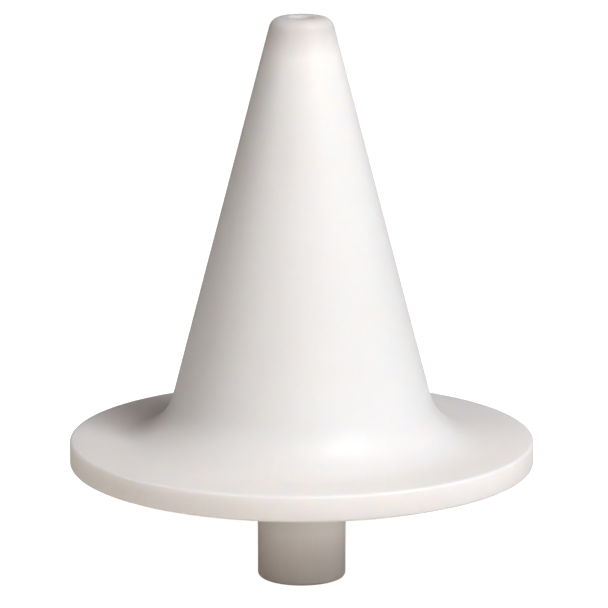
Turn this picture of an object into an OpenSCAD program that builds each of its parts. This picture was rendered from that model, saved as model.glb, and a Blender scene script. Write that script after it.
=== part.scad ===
// Cone-shaped pneumatic exhaust muffler with a push-in spigot.
// Origin: on the axis, in the plane of the flange's underside. +Z points along the cone to its tip.
// Air path: spigot, perforated core tube, felt absorbers, gap under the shell, screen, outlet in the tip.

/* [Flange] */
// Diameter of the flange
flange_d = 63; // [60:0.5:70]
// Thickness of the flange at its rim
flange_t = 3.5; // [3:0.1:4.5]
// Rounding of the flange's two rim edges
rim_round = 0.4; // [0.3:0.1:1.2]

/* [Cone] */
// Diameter of the cone's slant where it would meet the flange's top face
cone_base_d = 38; // [37:0.5:40]
// Angle between the cone's side and its axis
cone_angle = 14.6; // [14:0.1:15]
// Height of the tip above the flange's top face
cone_h = 57.5; // [56:0.5:60]
// Rounding of the cone's tip
tip_round = 1.8; // [1:0.1:2.2]
// Radius of the fillet between cone and flange
fillet_r = 8; // [6:0.5:9]
// Wall thickness of the cone, square to its side
wall = 2.2; // [1.8:0.1:2.4]
// Diameter of the outlet in the tip
outlet_d = 2.8; // [2.4:0.1:3.4]
// Rounding of the outlet's lip
lip_round = 0.5; // [0.3:0.1:0.6]

/* [Spigot] */
// Outer diameter of the spigot, a standard tube size
spigot_d = 12; // [12:0.1:12.4]
// Bore of the spigot
spigot_bore = 8; // [7:0.1:8]
// Length of the spigot below the flange
spigot_l = 16; // [12:0.5:24]
// Diameter of the spigot's collar
collar_d = 18; // [17:0.1:18.5]
// Thickness of the spigot's collar
collar_t = 1.4; // [1.2:0.1:1.6]

/* [Base plate] */
// Diameter of the recess in the flange's underside that takes the plate
recess_d = 41; // [40:0.1:42]
// Thickness of the plate's disc
plate_t = 2.2; // [2:0.1:2.4]
// Outer diameter of the plug ring that enters the shell
plug_d = 32; // [31.6:0.1:32.2]
// Height of the plug ring's top above the flange's underside
plug_top = 6.8; // [6.4:0.1:7]

/* [Core] */
// Outer diameter of the perforated tube
core_d = 8.8; // [8.6:0.1:9]
// Wall thickness of the perforated tube
core_wall = 0.6; // [0.5:0.1:0.8]
// Height of the perforated tube's top above the flange's underside
core_top = 37; // [34:0.5:38]
// Diameter of one perforation
hole_d = 1.6; // [1.2:0.1:1.8]
// Rows of perforations
hole_rows = 8; // [6:1:9]
// Perforations in a row
holes_per_row = 8; // [6:1:8]

/* [Absorber] */
// Gap between the absorbers and the shell's wall
air_gap = 1.2; // [0.8:0.1:1.4]
// Rounding of the absorbers' outer edges
felt_round = 0.6; // [0.3:0.1:0.9]

/* [Hidden] */
$fn = 96;

// clearances and cuts
press_gap = 0.02;
sliding_gap = 0.15;
cut_over = 1;
arc_steps = 12;

// shell, outside
flange_r = flange_d / 2;
cone_r = cone_base_d / 2;
slope = tan(cone_angle);
tip_z = flange_t + cone_h;
function cone_radius(z) = cone_r - (z - flange_t) * slope;
tip_axis_r = cone_radius(tip_z - tip_round) - tip_round / cos(cone_angle);
fillet_axis_r = cone_r + fillet_r * (1 - sin(cone_angle)) / cos(cone_angle);

// shell, inside
function inner_radius(z) = cone_radius(z) - wall / cos(cone_angle);
recess_depth = plate_t + press_gap;
bore_r = plug_d / 2 + sliding_gap;
bore_top = 7.6;
seat_z = 50;
screen_r = 4;
screen_t = 1.8;
ring_t = 1;
throat_z = seat_z + ring_t + screen_t;
throat_r = 3.2;
throat_top = 57;
outlet_r = outlet_d / 2;

// spigot and its ring groove
spigot_r = spigot_d / 2;
collar_r = collar_d / 2;
end_round = 0.5;
groove_z = 5.8;
groove_h = 1.2;
groove_depth = 0.5;
spigot_top = 8.4;
socket_depth = 3.6;
core_r = core_d / 2;

// seals
seal_section = 1.5;
spigot_seal_r = spigot_r + seal_section / 2 + 0.35;
collar_well = collar_t + seal_section;
base_groove_z = 3.8;
base_groove_h = 1.9;
base_groove_depth = 1.45;

// base plate
plate_r = recess_d / 2 - sliding_gap;
boss_r = 11;
plug_wall = 2.6;
rib_count = 6;
rib_w = 1.2;
pry_w = 5;
pry_depth = 1;

// absorbers
sleeve_wall = 0.3;
sleeve_r = core_r + press_gap + sleeve_wall;
felt_bore_r = sleeve_r + 0.05;
felt_bottom = spigot_top + 0.05;
felt_top = core_top;
felt_split = 22.2;
cap_t = 1.6;
cap_plug_l = 3;

// points of an arc, from angle a to angle b about a centre
function arc(cx, cy, r, a, b) =
    [for (i = [0 : arc_steps]) let (t = a + (b - a) * i / arc_steps) [cx + r * cos(t), cy + r * sin(t)]];

// half section of a solid ring with a rounded outline, as an O-ring has
module o_ring(axis_r, section, z) {
    translate([0, 0, z])
        rotate_extrude()
            translate([axis_r, 0])
                circle(d = section);
}

// tube between two heights
module tube(outer, inner, z0, z1) {
    translate([0, 0, z0])
        difference() {
            cylinder(r = outer, h = z1 - z0);
            translate([0, 0, -cut_over])
                cylinder(r = inner, h = z1 - z0 + 2 * cut_over);
        }
}

// rim, fillet, cone, tip, outlet lip, throat, screen seat, chamber, plug bore and recess, as one outline
module cone_shell() {
    color("white")
        difference() {
            rotate_extrude()
                polygon(concat(
                    [[recess_d / 2, 0]],
                    arc(flange_r - rim_round, rim_round, rim_round, -90, 0),
                    arc(flange_r - rim_round, flange_t - rim_round, rim_round, 0, 90),
                    arc(fillet_axis_r, flange_t + fillet_r, fillet_r, 270, 180 + cone_angle),
                    arc(tip_axis_r, tip_z - tip_round, tip_round, cone_angle, 90),
                    arc(outlet_r + lip_round, tip_z - lip_round, lip_round, 90, 180),
                    [[outlet_r, throat_top],
                     [throat_r, throat_z],
                     [screen_r, throat_z],
                     [screen_r, seat_z],
                     [inner_radius(seat_z), seat_z],
                     [inner_radius(bore_top + 0.8), bore_top + 0.8],
                     [bore_r, bore_top],
                     [bore_r, recess_depth],
                     [recess_d / 2, recess_depth]]));
            pry_notches();
        }
}

// two shallow notches at the recess's edge, for a blade that starts the shell off the plate
module pry_notches() {
    for (side = [0, 180])
        rotate([0, 0, side])
            translate([recess_d / 2 - 0.6, -pry_w / 2, -cut_over])
                cube([2.4, pry_w, pry_depth + cut_over]);
}

module outlet_screen() {
    color("silver")
        translate([0, 0, seat_z + ring_t])
            cylinder(r = screen_r - press_gap, h = screen_t - press_gap);
}

// split ring pressed into the seat below the screen
module screen_ring() {
    color("silver")
        difference() {
            tube(screen_r - press_gap, screen_r - 0.8, seat_z + 0.1, seat_z + ring_t - press_gap);
            translate([0, -0.4, seat_z - cut_over])
                cube([screen_r + cut_over, 0.8, ring_t + 2 * cut_over]);
        }
}

module base_plate() {
    color("whitesmoke")
        union() {
            difference() {
                plate_body();
                plate_bores();
            }
            plate_ribs();
        }
}

// disc, plug ring with its seal groove, and boss, as one outline
module plate_body() {
    rotate_extrude()
        polygon([
            [0, 0],
            [plate_r, 0],
            [plate_r, plate_t],
            [plug_d / 2, plate_t],
            [plug_d / 2, base_groove_z],
            [plug_d / 2 - base_groove_depth, base_groove_z],
            [plug_d / 2 - base_groove_depth, base_groove_z + base_groove_h],
            [plug_d / 2, base_groove_z + base_groove_h],
            [plug_d / 2, plug_top - 0.4],
            [plug_d / 2 - 0.4, plug_top],
            [plug_d / 2 - plug_wall, plug_top],
            [plug_d / 2 - plug_wall, plate_t],
            [boss_r, plate_t],
            [boss_r, spigot_top],
            [0, spigot_top]]);
}

// well for the collar and its seal, hole for the tube, and pocket for the spring ring
module plate_bores() {
    translate([0, 0, -cut_over])
        cylinder(r = collar_r + 0.1, h = collar_well + cut_over);
    cylinder(r = spigot_r + 0.05, h = spigot_top);
    translate([0, 0, groove_z])
        cylinder(r = spigot_r + 2.4, h = spigot_top);
}

module plate_ribs() {
    for (i = [0 : rib_count - 1])
        rotate([0, 0, (i + 0.5) * 360 / rib_count])
            translate([boss_r - 0.3, -rib_w / 2, plate_t - 0.3])
                cube([plug_d / 2 - plug_wall - boss_r + 0.6, rib_w, plug_top - plate_t - 0.7]);
}

module inlet_spigot() {
    color("gainsboro")
        rotate_extrude()
            polygon(concat(
                [[spigot_bore / 2, -spigot_l + end_round]],
                arc(spigot_bore / 2 + end_round, -spigot_l + end_round, end_round, 180, 270),
                arc(spigot_r - end_round, -spigot_l + end_round, end_round, -90, 0),
                [[spigot_r, 0],
                 [collar_r, 0],
                 [collar_r, collar_t],
                 [spigot_r, collar_t],
                 [spigot_r, groove_z],
                 [spigot_r - groove_depth, groove_z],
                 [spigot_r - groove_depth, groove_z + groove_h],
                 [spigot_r, groove_z + groove_h],
                 [spigot_r, spigot_top],
                 [core_r, spigot_top],
                 [core_r, spigot_top - socket_depth],
                 [spigot_bore / 2, spigot_top - socket_depth]]));
}

module spigot_seal() {
    color("dimgray")
        o_ring(spigot_seal_r, seal_section - press_gap, collar_t + seal_section / 2);
}

// open spring ring in the spigot's groove
module spigot_retainer() {
    color("silver")
        difference() {
            tube(spigot_r + 1.5, spigot_r - groove_depth + press_gap, groove_z + press_gap,
                 groove_z + groove_h - 0.2);
            translate([0, -1.6, groove_z - cut_over])
                cube([spigot_r + 3, 3.2, groove_h + 2 * cut_over]);
        }
}

module base_seal() {
    color("dimgray")
        o_ring(plug_d / 2 - base_groove_depth + seal_section / 2, seal_section - press_gap,
               base_groove_z + base_groove_h / 2);
}

module core_tube() {
    color("lightgray")
        difference() {
            tube(core_r - press_gap, core_r - core_wall, spigot_top - socket_depth + press_gap, core_top);
            perforations();
        }
}

// rows of radial holes, every second row turned by half a step
module perforations() {
    first_z = spigot_top + 2.4;
    last_z = core_top - cap_plug_l - 1.6;
    for (row = [0 : hole_rows - 1])
        for (i = [0 : holes_per_row - 1])
            rotate([0, 0, (i + (row % 2) / 2) * 360 / holes_per_row])
                translate([core_r - 2 * core_wall, 0, first_z + row * (last_z - first_z) / (hole_rows - 1)])
                    rotate([0, 90, 0])
                        cylinder(d = hole_d, h = 2 * core_wall + cut_over, $fn = 24);
}

module core_sleeve() {
    color("beige")
        tube(sleeve_r, core_r + press_gap, spigot_top + 0.1, felt_top - 0.1);
}

// plug in the tube's end, and a disc that holds the absorbers down
module core_cap() {
    cap_r = inner_radius(felt_top) - air_gap - 0.2;
    color("whitesmoke")
        rotate_extrude()
            polygon(concat(
                [[0, core_top - cap_plug_l],
                 [core_r - core_wall - press_gap, core_top - cap_plug_l],
                 [core_r - core_wall - press_gap, core_top + press_gap],
                 [cap_r, core_top + press_gap]],
                arc(cap_r - 0.5, core_top + cap_t - 0.5, 0.5, 0, 90),
                [[0, core_top + cap_t]]));
}

// felt sleeve whose outside runs parallel to the shell's wall
module felt_sleeve(z0, z1) {
    outer_0 = inner_radius(z0) - air_gap;
    outer_1 = inner_radius(z1) - air_gap;
    rotate_extrude()
        polygon(concat(
            [[felt_bore_r, z0]],
            arc(outer_0 - felt_round, z0 + felt_round, felt_round, -90, cone_angle),
            arc(outer_1 - felt_round, z1 - felt_round, felt_round, cone_angle, 90),
            [[felt_bore_r, z1]]));
}

module absorber_lower() {
    color("oldlace")
        felt_sleeve(felt_bottom, felt_split);
}

module absorber_upper() {
    color("linen")
        felt_sleeve(felt_split + 0.1, felt_top);
}

cone_shell();
outlet_screen();
screen_ring();
base_plate();
inlet_spigot();
spigot_seal();
spigot_retainer();
base_seal();
core_tube();
core_sleeve();
core_cap();
absorber_lower();
absorber_upper();
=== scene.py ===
import math
import random

import bmesh
import bpy
from mathutils import Matrix, Vector, noise


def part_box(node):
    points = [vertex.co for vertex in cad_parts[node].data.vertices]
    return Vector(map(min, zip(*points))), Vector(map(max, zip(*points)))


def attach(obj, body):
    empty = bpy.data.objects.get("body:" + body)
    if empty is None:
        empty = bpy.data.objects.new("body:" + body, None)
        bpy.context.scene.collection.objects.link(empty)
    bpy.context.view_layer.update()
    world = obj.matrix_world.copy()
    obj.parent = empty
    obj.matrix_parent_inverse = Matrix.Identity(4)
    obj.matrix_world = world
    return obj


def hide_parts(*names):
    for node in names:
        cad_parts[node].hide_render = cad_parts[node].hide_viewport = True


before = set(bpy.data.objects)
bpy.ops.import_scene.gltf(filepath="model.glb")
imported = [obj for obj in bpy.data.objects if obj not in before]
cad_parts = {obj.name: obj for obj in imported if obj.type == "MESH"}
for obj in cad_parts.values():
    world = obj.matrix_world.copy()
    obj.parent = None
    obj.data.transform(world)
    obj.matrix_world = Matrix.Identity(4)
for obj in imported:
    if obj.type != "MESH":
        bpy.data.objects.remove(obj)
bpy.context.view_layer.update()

# ---------------------------------------------------------------- sizes, in metres

MM = 0.001
SHELL_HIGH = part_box("cone_shell")[1]
SPIGOT_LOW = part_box("inlet_spigot")[0]
SCREEN_LOW, SCREEN_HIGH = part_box("outlet_screen")

# outside of the shell
FLANGE_R = SHELL_HIGH.x
FLANGE_T = 3.5 * MM
RIM_ROUND = 0.4 * MM
CONE_R = 19.0 * MM
CONE_ANGLE = math.radians(14.6)
FILLET_R = 8.0 * MM
TIP_Z = SHELL_HIGH.z
TIP_ROUND = 1.8 * MM

# inside of the shell
WALL = 2.2 * MM
RECESS_R = 20.5 * MM
RECESS_DEPTH = 2.22 * MM
BORE_R = 16.15 * MM
BORE_TOP = 7.6 * MM
BORE_CHAMFER = 0.8 * MM
SEAT_Z = 50.0 * MM
SEAT_R = 4.0 * MM
THROAT_Z = 52.8 * MM
THROAT_R = 3.2 * MM
THROAT_TOP = 57.0 * MM
OUTLET_R = 1.4 * MM
LIP_ROUND = 0.5 * MM

# underside of the flange
NOTCH_SIZE = (2.4 * MM, 5.0 * MM, 2.0 * MM)
NOTCH_R = RECESS_R + 0.6 * MM
MARK_COUNT = 6
MARK_RING_R = 26 * MM
MARK_R = 1.6 * MM
MARK_DEPTH = 0.08 * MM

# felt and screen
FELT_ROUND = 0.9 * MM
FELT_EASE = 0.1 * MM
FIBRES_PER_SLEEVE = 420
FIBRE_R = 0.022 * MM
GRAIN_R = 0.2 * MM

# the floor lies a hair under the spigot, so that the two faces don't flicker through each other
FLOOR_Z = SPIGOT_LOW.z - 0.02 * MM


# ---------------------------------------------------------------- mesh helpers

def arc(centre_r, centre_z, radius, start, end, steps=10):
    """Points of an arc in the radius and height plane, angles in radians."""
    points = []
    for i in range(steps + 1):
        turn = start + (end - start) * i / steps
        points.append((centre_r + radius * math.cos(turn), centre_z + radius * math.sin(turn)))
    return points


def fine(outline, step):
    """The same closed outline with points added, so that no side is longer than step."""
    points = []
    count = len(outline)
    for i in range(count):
        a, b = Vector(outline[i]), Vector(outline[(i + 1) % count])
        parts = max(1, math.ceil((b - a).length / step))
        points += [tuple(a.lerp(b, k / parts)) for k in range(parts)]
    return points


def mesh_object(name, mesh):
    """A linked object for a mesh."""
    thing = bpy.data.objects.new(name, mesh)
    bpy.context.scene.collection.objects.link(thing)
    return thing


def finish_mesh(bm, name, sharp_angle=35):
    """A smooth-shaded object from a bmesh, with edges kept sharp above an angle in degrees."""
    bmesh.ops.remove_doubles(bm, verts=bm.verts, dist=1e-7)
    bmesh.ops.recalc_face_normals(bm, faces=bm.faces)
    mesh = bpy.data.meshes.new(name)
    bm.to_mesh(mesh)
    bm.free()
    mesh.polygons.foreach_set("use_smooth", [True] * len(mesh.polygons))
    mesh.set_sharp_from_angle(angle=math.radians(sharp_angle))
    return mesh_object(name, mesh)


def lathe(name, outline, segments, shape=None, sharp_angle=35):
    """A closed outline of (radius, height) points turned round the axis. shape moves each point."""
    bm = bmesh.new()
    rings = []
    for k in range(segments):
        turn = 2 * math.pi * k / segments
        ring = []
        for radius, height in outline:
            spot = Vector((radius * math.sin(turn), -radius * math.cos(turn), height))
            ring.append(bm.verts.new(shape(spot) if shape else spot))
        rings.append(ring)
    count = len(outline)
    for k in range(segments):
        here, there = rings[k], rings[(k + 1) % segments]
        for i in range(count):
            j = (i + 1) % count
            bm.faces.new((here[i], here[j], there[j], there[i]))
    return finish_mesh(bm, name, sharp_angle)


def cut(target, cutter):
    """Takes the cutter's volume out of the target and removes the cutter."""
    modifier = target.modifiers.new("cut", "BOOLEAN")
    modifier.operation = "DIFFERENCE"
    modifier.solver = "EXACT"
    modifier.object = cutter
    depsgraph = bpy.context.evaluated_depsgraph_get()
    made = bpy.data.meshes.new_from_object(target.evaluated_get(depsgraph))
    target.modifiers.clear()
    target.data = made
    bpy.data.objects.remove(cutter)
    made.polygons.foreach_set("use_smooth", [True] * len(made.polygons))
    made.set_sharp_from_angle(angle=math.radians(35))


def dress(piece, material):
    """Gives a new piece its material."""
    piece.data.materials.clear()
    piece.data.materials.append(material)


# ---------------------------------------------------------------- material helpers

def start_material(name):
    """A material with its node tree, its shader and object coordinates in metres."""
    material = bpy.data.materials.new(name)
    material.use_nodes = True
    tree = material.node_tree
    place = tree.nodes.new("ShaderNodeTexCoord").outputs["Object"]
    return material, tree, tree.nodes["Principled BSDF"], place


def noise_field(tree, place, size, detail=3.0, roughness=0.5, stretch=(1, 1, 1)):
    """Noise with features of a size in metres, drawn out along an axis where stretch is above 1."""
    mapping = tree.nodes.new("ShaderNodeMapping")
    mapping.inputs["Scale"].default_value = [1 / s for s in stretch]
    tree.links.new(place, mapping.inputs["Vector"])
    field = tree.nodes.new("ShaderNodeTexNoise")
    field.inputs["Scale"].default_value = 1 / size
    field.inputs["Detail"].default_value = detail
    field.inputs["Roughness"].default_value = roughness
    tree.links.new(mapping.outputs["Vector"], field.inputs["Vector"])
    return field.outputs["Fac"]


def tone(tree, factor, dark, light, low=0.3, high=0.7):
    """A colour that runs from dark to light as the factor goes from low to high."""
    ramp = tree.nodes.new("ShaderNodeValToRGB")
    first, last = ramp.color_ramp.elements
    first.position, first.color = low, (*dark, 1)
    last.position, last.color = high, (*light, 1)
    tree.links.new(factor, ramp.inputs["Fac"])
    return ramp.outputs["Color"]


def span(tree, value, low, high, out_low, out_high):
    """A value moved from one range to another."""
    node = tree.nodes.new("ShaderNodeMapRange")
    node.inputs["From Min"].default_value = low
    node.inputs["From Max"].default_value = high
    node.inputs["To Min"].default_value = out_low
    node.inputs["To Max"].default_value = out_high
    tree.links.new(value, node.inputs["Value"])
    return node.outputs["Result"]


def math_node(tree, operation, a, b):
    """One step of arithmetic on two values, each a socket or a number."""
    node = tree.nodes.new("ShaderNodeMath")
    node.operation = operation
    for i, value in enumerate((a, b)):
        if isinstance(value, (int, float)):
            node.inputs[i].default_value = value
        else:
            tree.links.new(value, node.inputs[i])
    return node.outputs["Value"]


def bump(tree, shader, height, depth, before=None):
    """Surface relief of a depth in metres, on top of an earlier one."""
    node = tree.nodes.new("ShaderNodeBump")
    node.inputs["Strength"].default_value = 1.0
    node.inputs["Distance"].default_value = depth
    tree.links.new(height, node.inputs["Height"])
    if before is not None:
        tree.links.new(before, node.inputs["Normal"])
    tree.links.new(node.outputs["Normal"], shader.inputs["Normal"])
    return node.outputs["Normal"]


def set_shader(shader, **values):
    """Sets constants on the shader's own sockets: base_color becomes Base Color."""
    names = {"ior": "IOR", "specular": "Specular IOR Level"}
    for key, value in values.items():
        name = names.get(key) or key.replace("_", " ").title()
        shader.inputs[name].default_value = value


# ---------------------------------------------------------------- materials

def painted_tip_shade(tree, place, clean):
    """The plastic's colour, greyer towards the outlet: painted shade on the tip's crown, with a noisy
    lower edge.
    """
    split = tree.nodes.new("ShaderNodeSeparateXYZ")
    tree.links.new(place, split.inputs["Vector"])
    shade_edge_noise = noise_field(tree, place, 2.5 * MM, detail=4)
    shift = span(tree, shade_edge_noise, 0.3, 0.7, -0.4 * MM, 0.4 * MM)
    height = math_node(tree, "ADD", split.outputs["Z"], shift)
    strength = span(tree, height, TIP_Z - 5.0 * MM, TIP_Z - 0.6 * MM, 0, 1)
    # painted shade: the colour is multiplied towards grey near the top of the tip
    blend = tree.nodes.new("ShaderNodeMixRGB")
    blend.blend_type = "MULTIPLY"
    tree.links.new(strength, blend.inputs["Fac"])
    tree.links.new(clean, blend.inputs["Color1"])
    blend.inputs["Color2"].default_value = (0.78, 0.77, 0.77, 1)
    return blend.outputs["Color"]


def moulded_plastic(name, dark, light, glow, low_rough, high_rough):
    """Soft white polymer: light goes a little way in, faint flow tones, fine polish marks."""
    material, tree, shader, place = start_material(name)
    clouds = noise_field(tree, place, 16 * MM, detail=4)
    clean = tone(tree, clouds, dark, light)
    # painted shade greys the tip round the outlet
    tree.links.new(painted_tip_shade(tree, place, clean), shader.inputs["Base Color"])
    smears = noise_field(tree, place, 5 * MM, detail=5, roughness=0.6, stretch=(1, 1, 3))
    rough = span(tree, smears, 0.3, 0.7, low_rough, high_rough)
    tree.links.new(rough, shader.inputs["Roughness"])
    set_shader(shader, subsurface_weight=glow, subsurface_scale=3 * MM, ior=1.46, specular=0.35)
    set_shader(shader, subsurface_radius=(1.0, 0.8, 0.62))
    grain = noise_field(tree, place, 0.5 * MM, detail=3)
    first = bump(tree, shader, grain, 3e-6)
    polish = noise_field(tree, place, 0.35 * MM, detail=2, stretch=(14, 14, 1))
    bump(tree, shader, polish, 2e-6, before=first)
    return material


def drawn_tube_plastic():
    """Natural plastic tube with faint lines along its length: painted light makes it near white by the
    flange, and painted shade greys it towards its open end.
    """
    material, tree, shader, place = start_material("drawn_tube_plastic")
    lines = noise_field(tree, place, 0.5 * MM, detail=4, stretch=(1, 1, 40))
    # painted light near the flange and painted shade at the open end: the colour runs up the tube from
    # the dark tone to the light one
    painted_lit_top = tone(tree, lines, (0.95, 0.91, 0.86), (0.965, 0.925, 0.875))
    painted_shaded_end = tone(tree, lines, (0.57, 0.53, 0.48), (0.59, 0.55, 0.50))
    split = tree.nodes.new("ShaderNodeSeparateXYZ")
    tree.links.new(place, split.inputs["Vector"])
    height = span(tree, split.outputs["Z"], SPIGOT_LOW.z, SPIGOT_LOW.z + 7 * MM, 0, 1)
    blend = tree.nodes.new("ShaderNodeMixRGB")
    tree.links.new(height, blend.inputs["Fac"])
    tree.links.new(painted_shaded_end, blend.inputs["Color1"])
    tree.links.new(painted_lit_top, blend.inputs["Color2"])
    tree.links.new(blend.outputs["Color"], shader.inputs["Base Color"])
    smears = noise_field(tree, place, 3 * MM, detail=4)
    tree.links.new(span(tree, smears, 0.3, 0.7, 0.38, 0.5), shader.inputs["Roughness"])
    set_shader(shader, subsurface_weight=0.5, subsurface_scale=1.0 * MM, ior=1.46)
    set_shader(shader, subsurface_radius=(1.0, 0.85, 0.7))
    bump(tree, shader, lines, 5e-6)
    return material


def rubber():
    """Black moulded rubber with a faint bloom."""
    material, tree, shader, place = start_material("rubber")
    bloom = noise_field(tree, place, 2 * MM, detail=5, roughness=0.65)
    black = tone(tree, bloom, (0.012, 0.012, 0.013), (0.035, 0.034, 0.033))
    tree.links.new(black, shader.inputs["Base Color"])
    tree.links.new(span(tree, bloom, 0.3, 0.7, 0.42, 0.62), shader.inputs["Roughness"])
    bump(tree, shader, noise_field(tree, place, 0.15 * MM), 4e-6)
    return material


def bright_metal(name, dark, light, low_rough, high_rough, stretch):
    """Bare metal with fine marks drawn out along one direction."""
    material, tree, shader, place = start_material(name)
    marks = noise_field(tree, place, 0.12 * MM, detail=4, stretch=stretch)
    tree.links.new(tone(tree, marks, dark, light), shader.inputs["Base Color"])
    tree.links.new(span(tree, marks, 0.3, 0.7, low_rough, high_rough), shader.inputs["Roughness"])
    set_shader(shader, metallic=1.0)
    bump(tree, shader, marks, 3e-6)
    return material


def sintered_bronze():
    """Grains of bronze with darker necks between them."""
    material, tree, shader, place = start_material("sintered_bronze")
    patches = noise_field(tree, place, 0.4 * MM, detail=4, roughness=0.6)
    bronze = tone(tree, patches, (0.30, 0.19, 0.09), (0.62, 0.44, 0.22))
    tree.links.new(bronze, shader.inputs["Base Color"])
    tree.links.new(span(tree, patches, 0.3, 0.7, 0.35, 0.6), shader.inputs["Roughness"])
    set_shader(shader, metallic=1.0)
    bump(tree, shader, noise_field(tree, place, 0.05 * MM), 3e-6)
    return material


def felt():
    """Dense pressed wool felt: matt, mottled, with matted fibres."""
    material, tree, shader, place = start_material("felt")
    mottle = noise_field(tree, place, 1.6 * MM, detail=6, roughness=0.65)
    wool = tone(tree, mottle, (0.62, 0.58, 0.49), (0.86, 0.83, 0.76))
    tree.links.new(wool, shader.inputs["Base Color"])
    set_shader(shader, roughness=0.95, sheen_weight=0.35, sheen_roughness=0.5, specular=0.2)
    one_way = noise_field(tree, place, 0.12 * MM, detail=3, stretch=(7, 7, 1))
    other_way = noise_field(tree, place, 0.12 * MM, detail=3, stretch=(1, 1, 8))
    matted = math_node(tree, "MAXIMUM", one_way, other_way)
    bump(tree, shader, matted, 90e-6)
    return material


def woven_cloth():
    """Fine plain weave wrapped round the core: waves round the axis and along it, multiplied."""
    material, tree, shader, place = start_material("woven_cloth")
    split = tree.nodes.new("ShaderNodeSeparateXYZ")
    tree.links.new(place, split.inputs["Vector"])
    threads_round = 48
    thread_pitch = 0.6 * MM
    turn = math_node(tree, "ARCTAN2", split.outputs["Y"], split.outputs["X"])
    warp = math_node(tree, "SINE", math_node(tree, "MULTIPLY", turn, threads_round), 0)
    along = math_node(tree, "MULTIPLY", split.outputs["Z"], 2 * math.pi / thread_pitch)
    weft = math_node(tree, "SINE", along, 0)
    weave = math_node(tree, "MULTIPLY", warp, weft)
    cloth = tone(tree, span(tree, weave, -1, 1, 0, 1), (0.42, 0.38, 0.28), (0.78, 0.74, 0.62))
    tree.links.new(cloth, shader.inputs["Base Color"])
    set_shader(shader, roughness=0.85, sheen_weight=0.2)
    bump(tree, shader, weave, 60e-6)
    return material


SHELL_WHITE = moulded_plastic(
    "shell_white", dark=(0.855, 0.835, 0.815), light=(0.88, 0.863, 0.845),
    glow=1.0, low_rough=0.38, high_rough=0.46)
PLATE_WHITE = moulded_plastic(
    "plate_white", dark=(0.78, 0.765, 0.74), light=(0.82, 0.805, 0.785),
    glow=0.6, low_rough=0.42, high_rough=0.55)
SPIGOT_PAINTED_SHADE_PLASTIC = drawn_tube_plastic()
RUBBER = rubber()
SPRING_STEEL = bright_metal(
    "spring_steel", dark=(0.40, 0.41, 0.43), light=(0.62, 0.63, 0.65),
    low_rough=0.30, high_rough=0.42, stretch=(8, 8, 1))
CORE_METAL = bright_metal(
    "core_metal", dark=(0.66, 0.67, 0.69), light=(0.82, 0.83, 0.84),
    low_rough=0.30, high_rough=0.42, stretch=(1, 1, 30))
BRONZE = sintered_bronze()
FELT = felt()
CLOTH = woven_cloth()


# ---------------------------------------------------------------- the shell

def cone_radius(z):
    """Radius of the cone's side at a height."""
    return CONE_R - (z - FLANGE_T) * math.tan(CONE_ANGLE)


def inner_radius(z):
    """Radius of the chamber's side at a height."""
    return cone_radius(z) - WALL / math.cos(CONE_ANGLE)


def shell_outline():
    """The moulding's whole section: underside, rim, fillet, cone, tip, outlet, chamber and recess."""
    fillet_axis_r = CONE_R + FILLET_R * (1 - math.sin(CONE_ANGLE)) / math.cos(CONE_ANGLE)
    fillet_axis_z = FLANGE_T + FILLET_R
    tip_axis_z = TIP_Z - TIP_ROUND
    tip_axis_r = cone_radius(tip_axis_z) - TIP_ROUND / math.cos(CONE_ANGLE)
    quarter = math.pi / 2
    half = math.pi
    outline = [(RECESS_R, 0)]
    outline += arc(FLANGE_R - RIM_ROUND, RIM_ROUND, RIM_ROUND, -quarter, 0)
    outline += arc(FLANGE_R - RIM_ROUND, FLANGE_T - RIM_ROUND, RIM_ROUND, 0, quarter)
    outline += arc(fillet_axis_r, fillet_axis_z, FILLET_R, 3 * quarter, half + CONE_ANGLE, 24)
    outline += arc(tip_axis_r, tip_axis_z, TIP_ROUND, CONE_ANGLE, quarter, 14)
    outline += arc(OUTLET_R + LIP_ROUND, TIP_Z - LIP_ROUND, LIP_ROUND, quarter, half, 8)
    outline += [
        (OUTLET_R, THROAT_TOP),
        (THROAT_R, THROAT_Z),
        (SEAT_R, THROAT_Z),
        (SEAT_R, SEAT_Z),
        (inner_radius(SEAT_Z), SEAT_Z),
        (inner_radius(BORE_TOP + BORE_CHAMFER), BORE_TOP + BORE_CHAMFER),
        (BORE_R, BORE_TOP),
        (BORE_R, RECESS_DEPTH),
        (RECESS_R, RECESS_DEPTH),
    ]
    return fine(outline, 1.4 * MM)


def moulding_unevenness(spot):
    """Sinks a point of the flange's top or the cone's side by a few hundredths of a millimetre."""
    radius = math.hypot(spot.x, spot.y)
    if spot.z < FLANGE_T - 0.01 * MM or radius < inner_radius(spot.z) + WALL / 2:
        return spot
    flat = min(1.0, max(0.0, (radius - CONE_R) / (5 * MM)))
    wave = noise.noise(Vector((spot.x, spot.y, spot.z)) * 60) * 0.5 + 0.5
    ripple = noise.noise(Vector((spot.x, spot.y, spot.z)) * 170 + Vector((7, 3, 1))) * 0.5 + 0.5
    sink = (0.030 * wave + 0.012 * ripple) * MM
    inward = Vector((-spot.x / radius, -spot.y / radius, 0)) * (1 - flat)
    edge = min(1.0, max(0.0, (FLANGE_R - radius) / (1.2 * MM)))
    return spot + (inward + Vector((0, 0, -flat))) * sink * edge


def block(name, size, centre):
    """A box used as a cutter."""
    bm = bmesh.new()
    bmesh.ops.create_cube(bm, size=1.0, matrix=Matrix.Translation(centre) @ Matrix.Diagonal((*size, 1)))
    return finish_mesh(bm, name)


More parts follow.
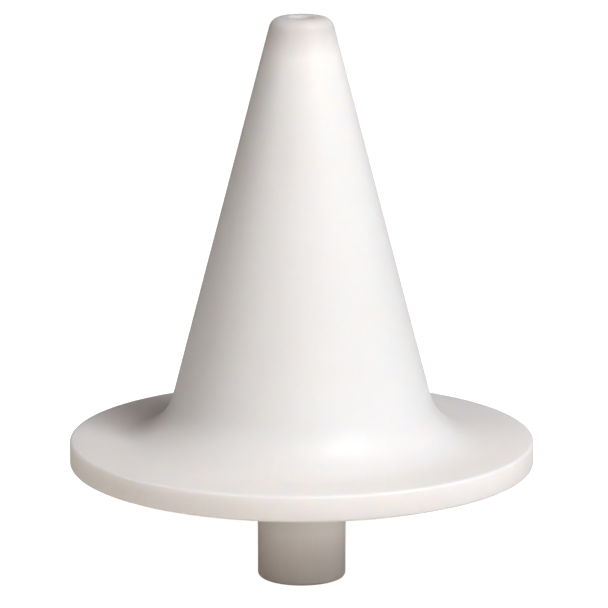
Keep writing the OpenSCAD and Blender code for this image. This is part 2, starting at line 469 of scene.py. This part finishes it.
def make_shell():
    """The white moulding with its pry notches and the shallow rings that ejector pins leave."""
    shell = lathe("shell_moulding", shell_outline(), 224, shape=moulding_unevenness)
    for side in (1, -1):
        cut(shell, block("notch_cutter", NOTCH_SIZE, Vector((side * NOTCH_R, 0, 0))))
    for k in range(MARK_COUNT):
        turn = math.radians(30 + 60 * k)
        middle = Vector((MARK_RING_R * math.cos(turn), MARK_RING_R * math.sin(turn), 0))
        bm = bmesh.new()
        bmesh.ops.create_cone(bm, cap_ends=True, segments=40, radius1=MARK_R, radius2=MARK_R,
                              depth=2 * MARK_DEPTH, matrix=Matrix.Translation(middle))
        cut(shell, finish_mesh(bm, "mark_cutter"))
    dress(shell, SHELL_WHITE)
    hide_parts("cone_shell")
    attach(shell, "shell")


# ---------------------------------------------------------------- felt absorbers

def felt_outline(low, high, step):
    """Section of a felt sleeve that fills a CAD absorber, a little rounder at its edges."""
    bottom, top = low.z, high.z
    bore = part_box("core_sleeve")[1].x + 0.05 * MM
    outer_low = high.x
    outer_high = outer_low - (top - bottom) * math.tan(CONE_ANGLE)
    chamfer = 0.2 * MM
    quarter = math.pi / 2
    low_r = outer_low - FELT_ROUND - FELT_EASE
    high_r = outer_high - FELT_ROUND - FELT_EASE
    outline = [(bore, bottom + chamfer), (bore + chamfer, bottom)]
    outline += arc(low_r, bottom + FELT_ROUND, FELT_ROUND, -quarter, CONE_ANGLE, 6)
    outline += arc(high_r, top - FELT_ROUND, FELT_ROUND, CONE_ANGLE, quarter, 6)
    outline += [(bore + chamfer, top), (bore, top - chamfer)]
    return fine(outline, step)


def felt_lumps(spot):
    """Moves a point of a felt sleeve inwards by up to a tenth of a millimetre."""
    radius = math.hypot(spot.x, spot.y)
    if radius < 6 * MM:
        return spot
    lump = noise.noise(spot * 420) * 0.5 + 0.5
    tuft = noise.noise(spot * 1500) * 0.5 + 0.5
    inward = (0.10 * lump + 0.06 * tuft) * MM
    return spot - Vector((spot.x, spot.y, 0)) / radius * inward


def add_fibres(bm, low, high, count, rng):
    """Short loose fibres that stand a little off the felt's side."""
    slant = math.tan(CONE_ANGLE)
    for _ in range(count):
        z = rng.uniform(low.z + 1.2 * MM, high.z - 1.2 * MM)
        turn = rng.uniform(0, 2 * math.pi)
        heading = rng.uniform(0, 2 * math.pi)
        length = rng.uniform(0.8, 2.4) * MM
        lift = rng.uniform(0.05, 0.3) * MM
        curl = rng.uniform(-1.2, 1.2)
        spots = []
        for k in range(5):
            along = k / 4
            bend = heading + curl * along
            here_z = min(high.z - 0.4 * MM, max(low.z + 0.4 * MM, z + length * along * math.sin(bend)))
            surface_r = high.x - (here_z - low.z) * slant - 0.2 * MM
            here_turn = turn + length * along * math.cos(bend) / surface_r
            here_r = surface_r + lift * math.sin(math.pi * along)
            spots.append(Vector((here_r * math.cos(here_turn), here_r * math.sin(here_turn), here_z)))
        thread(bm, spots, FIBRE_R)


def thread(bm, spots, radius, sides=4):
    """A thin closed tube through a row of points."""
    rings = []
    for i, spot in enumerate(spots):
        ahead = spots[min(i + 1, len(spots) - 1)] - spots[max(i - 1, 0)]
        across = ahead.orthogonal().normalized()
        up = ahead.cross(across).normalized()
        ring = []
        for k in range(sides):
            turn = 2 * math.pi * k / sides
            ring.append(bm.verts.new(spot + (across * math.cos(turn) + up * math.sin(turn)) * radius))
        rings.append(ring)
    for a, b in zip(rings, rings[1:]):
        for k in range(sides):
            bm.faces.new((a[k], a[(k + 1) % sides], b[(k + 1) % sides], b[k]))
    bm.faces.new(reversed(rings[0]))
    bm.faces.new(rings[-1])


def make_absorber(node, name, seed):
    """A felt sleeve with lumps and loose fibres in place of a CAD absorber."""
    low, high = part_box(node)
    sleeve = lathe(name, felt_outline(low, high, 0.5 * MM), 160, shape=felt_lumps, sharp_angle=60)
    dress(sleeve, FELT)
    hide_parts(node)
    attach(sleeve, "base")
    bm = bmesh.new()
    add_fibres(bm, low, high, FIBRES_PER_SLEEVE, random.Random(seed))
    fibres = finish_mesh(bm, name + "_fibres", 180)
    dress(fibres, FELT)
    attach(fibres, "base")


# ---------------------------------------------------------------- sintered screen

def make_screen():
    """A disc of bronze grains, packed in layers, in place of the plain CAD disc."""
    rng = random.Random(11)
    bm = bmesh.new()
    pitch = 1.85 * GRAIN_R
    jitter = GRAIN_R * 0.08
    reach = SCREEN_HIGH.x - GRAIN_R
    rows = int(reach / pitch) + 1
    low_layer, high_layer = SCREEN_LOW.z + GRAIN_R, SCREEN_HIGH.z - GRAIN_R
    for level in (low_layer, high_layer):
        for row in range(-rows, rows + 1):
            for column in range(-rows - 1, rows + 2):
                x = (column + 0.5 * (row % 2)) * pitch
                y = row * pitch * math.sqrt(3) / 2
                if math.hypot(x, y) > reach:
                    continue
                size = GRAIN_R * rng.uniform(0.88, 1.0)
                centre = Vector((x, y, level)) + Vector([rng.uniform(-1, 1) * jitter for _ in range(3)])
                centre.z = min(SCREEN_HIGH.z - size, max(SCREEN_LOW.z + size, centre.z))
                spot = Matrix.Translation(centre)
                bmesh.ops.create_icosphere(bm, subdivisions=2, radius=size, matrix=spot)
    grains = finish_mesh(bm, "screen_grains", 180)
    dress(grains, BRONZE)
    inner_r, outer_r = 0.05 * MM, SCREEN_HIGH.x - 0.1 * MM
    outline = [(inner_r, low_layer), (outer_r, low_layer), (outer_r, high_layer), (inner_r, high_layer)]
    backing = lathe("screen_backing", fine(outline, 0.5 * MM), 96)
    dress(backing, BRONZE)
    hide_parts("outlet_screen")
    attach(grains, "shell")
    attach(backing, "shell")


# ---------------------------------------------------------------- CAD nodes that stay

def keep_node(node, material):
    """Gives a CAD node a better material in every slot."""
    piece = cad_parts[node]
    for i in range(max(1, len(piece.material_slots))):
        if i >= len(piece.material_slots):
            piece.data.materials.append(material)
        else:
            piece.material_slots[i].material = material


make_shell()
make_absorber("absorber_lower", "felt_lower", 5)
make_absorber("absorber_upper", "felt_upper", 6)
make_screen()
keep_node("screen_ring", SPRING_STEEL)
keep_node("base_plate", PLATE_WHITE)
keep_node("core_cap", PLATE_WHITE)
# the spigot's material carries painted light near the flange and painted shade towards its open end
keep_node("inlet_spigot", SPIGOT_PAINTED_SHADE_PLASTIC)
keep_node("spigot_seal", RUBBER)
keep_node("base_seal", RUBBER)
keep_node("spigot_retainer", SPRING_STEEL)
keep_node("core_tube", CORE_METAL)
keep_node("core_sleeve", CLOTH)


# ---------------------------------------------------------------- floor, light and camera

def make_floor():
    """A wide round pale floor, bright to look at, which throws a dimmer, warm light back."""
    bm = bmesh.new()
    bmesh.ops.create_circle(bm, cap_ends=True, segments=96, radius=4.0,
                            matrix=Matrix.Translation((0, 0, FLOOR_Z)))
    floor = finish_mesh(bm, "studio_floor")
    material, tree, shader, place = start_material("floor_white")
    grain = noise_field(tree, place, 30 * MM, detail=3)
    paper = tone(tree, grain, (0.93, 0.93, 0.93), (0.95, 0.95, 0.95))
    tree.links.new(paper, shader.inputs["Base Color"])
    set_shader(shader, roughness=0.9, specular=0.1)
    set_shader(shader, emission_color=(1, 1, 1, 1), emission_strength=0.82)
    bounce = tree.nodes.new("ShaderNodeBsdfDiffuse")
    bounce.inputs["Color"].default_value = (0.75, 0.695, 0.64, 1)
    path = tree.nodes.new("ShaderNodeLightPath")
    mix = tree.nodes.new("ShaderNodeMixShader")
    tree.links.new(path.outputs["Is Camera Ray"], mix.inputs["Fac"])
    tree.links.new(bounce.outputs["BSDF"], mix.inputs[1])
    tree.links.new(shader.outputs["BSDF"], mix.inputs[2])
    tree.links.new(mix.outputs["Shader"], tree.nodes["Material Output"].inputs["Surface"])
    floor.data.materials.append(material)


def make_world():
    """Almost no light from all round, and a pale backdrop where the camera looks past the floor."""
    world = bpy.data.worlds.new("studio_air")
    bpy.context.scene.world = world
    world.use_nodes = True
    tree = world.node_tree
    tree.nodes.clear()
    seen = tree.nodes.new("ShaderNodeBackground")
    seen.inputs["Color"].default_value = (0.95, 0.95, 0.95, 1)
    air = tree.nodes.new("ShaderNodeBackground")
    air.inputs["Color"].default_value = (1, 1, 1, 1)
    air.inputs["Strength"].default_value = 0.01
    path = tree.nodes.new("ShaderNodeLightPath")
    mix = tree.nodes.new("ShaderNodeMixShader")
    out = tree.nodes.new("ShaderNodeOutputWorld")
    tree.links.new(path.outputs["Is Camera Ray"], mix.inputs["Fac"])
    tree.links.new(air.outputs["Background"], mix.inputs[1])
    tree.links.new(seen.outputs["Background"], mix.inputs[2])
    tree.links.new(mix.outputs["Shader"], out.inputs["Surface"])


def softbox(name, azimuth, elevation, distance, width, height, power, colour):
    """An area light that faces the part. Azimuth 0 is the camera's side and 90 its right."""
    a, e = math.radians(azimuth), math.radians(elevation)
    aim = Vector((0, 0, 25 * MM))
    toward = Vector((math.sin(a) * math.cos(e), -math.cos(a) * math.cos(e), math.sin(e)))
    data = bpy.data.lights.new(name, "AREA")
    data.shape = "RECTANGLE"
    data.size, data.size_y = width, height
    data.energy = power
    data.color = colour
    light = bpy.data.objects.new(name, data)
    bpy.context.scene.collection.objects.link(light)
    light.location = aim + toward * distance
    light.rotation_mode = "QUATERNION"
    light.rotation_quaternion = (-toward).to_track_quat("-Z", "Y")


def make_camera():
    """The photographer's view: a long lens, a little above the flange."""
    distance = 0.532
    pitch = math.radians(12.32)
    aim = Vector((0.31 * MM, 0, 21.9 * MM))
    data = bpy.data.cameras.new("camera")
    data.sensor_width = 36.0
    data.lens = 233.3
    data.dof.use_dof = False
    data.clip_start, data.clip_end = 0.01, 20
    camera = bpy.data.objects.new("camera", data)
    bpy.context.scene.collection.objects.link(camera)
    back = Vector((0, -math.cos(pitch), math.sin(pitch)))
    camera.location = aim + back * distance
    camera.rotation_mode = "QUATERNION"
    camera.rotation_quaternion = (-back).to_track_quat("-Z", "Y")
    bpy.context.scene.camera = camera


make_floor()
make_world()
softbox("high_box", 50, 58, 0.70, 0.20, 0.20, 2.80, (0.99, 0.985, 1.0))
softbox("key_box", 45, 30, 0.70, 0.20, 0.20, 1.42, (0.965, 0.97, 1.0))
softbox("left_box", -50, 30, 0.70, 0.30, 0.30, 1.04, (1.0, 0.95, 0.93))
softbox("front_box", 0, 8, 0.70, 0.30, 0.20, 0.65, (1.0, 0.965, 0.985))
softbox("side_box", 84, 8, 0.70, 0.30, 0.20, 0.51, (0.82, 0.90, 1.0))
softbox("rear_box", 178, 16, 0.90, 1.30, 0.12, 0.32, (1.0, 0.90, 0.93))
softbox("back_right_box", 135, 25, 0.70, 0.30, 0.30, 0.19, (1.0, 0.88, 1.0))
softbox("back_left_box", -140, 20, 0.80, 0.30, 0.30, 0.22, (1.0, 0.72, 0.62))
make_camera()
bpy.context.scene.view_settings.view_transform = "Standard"
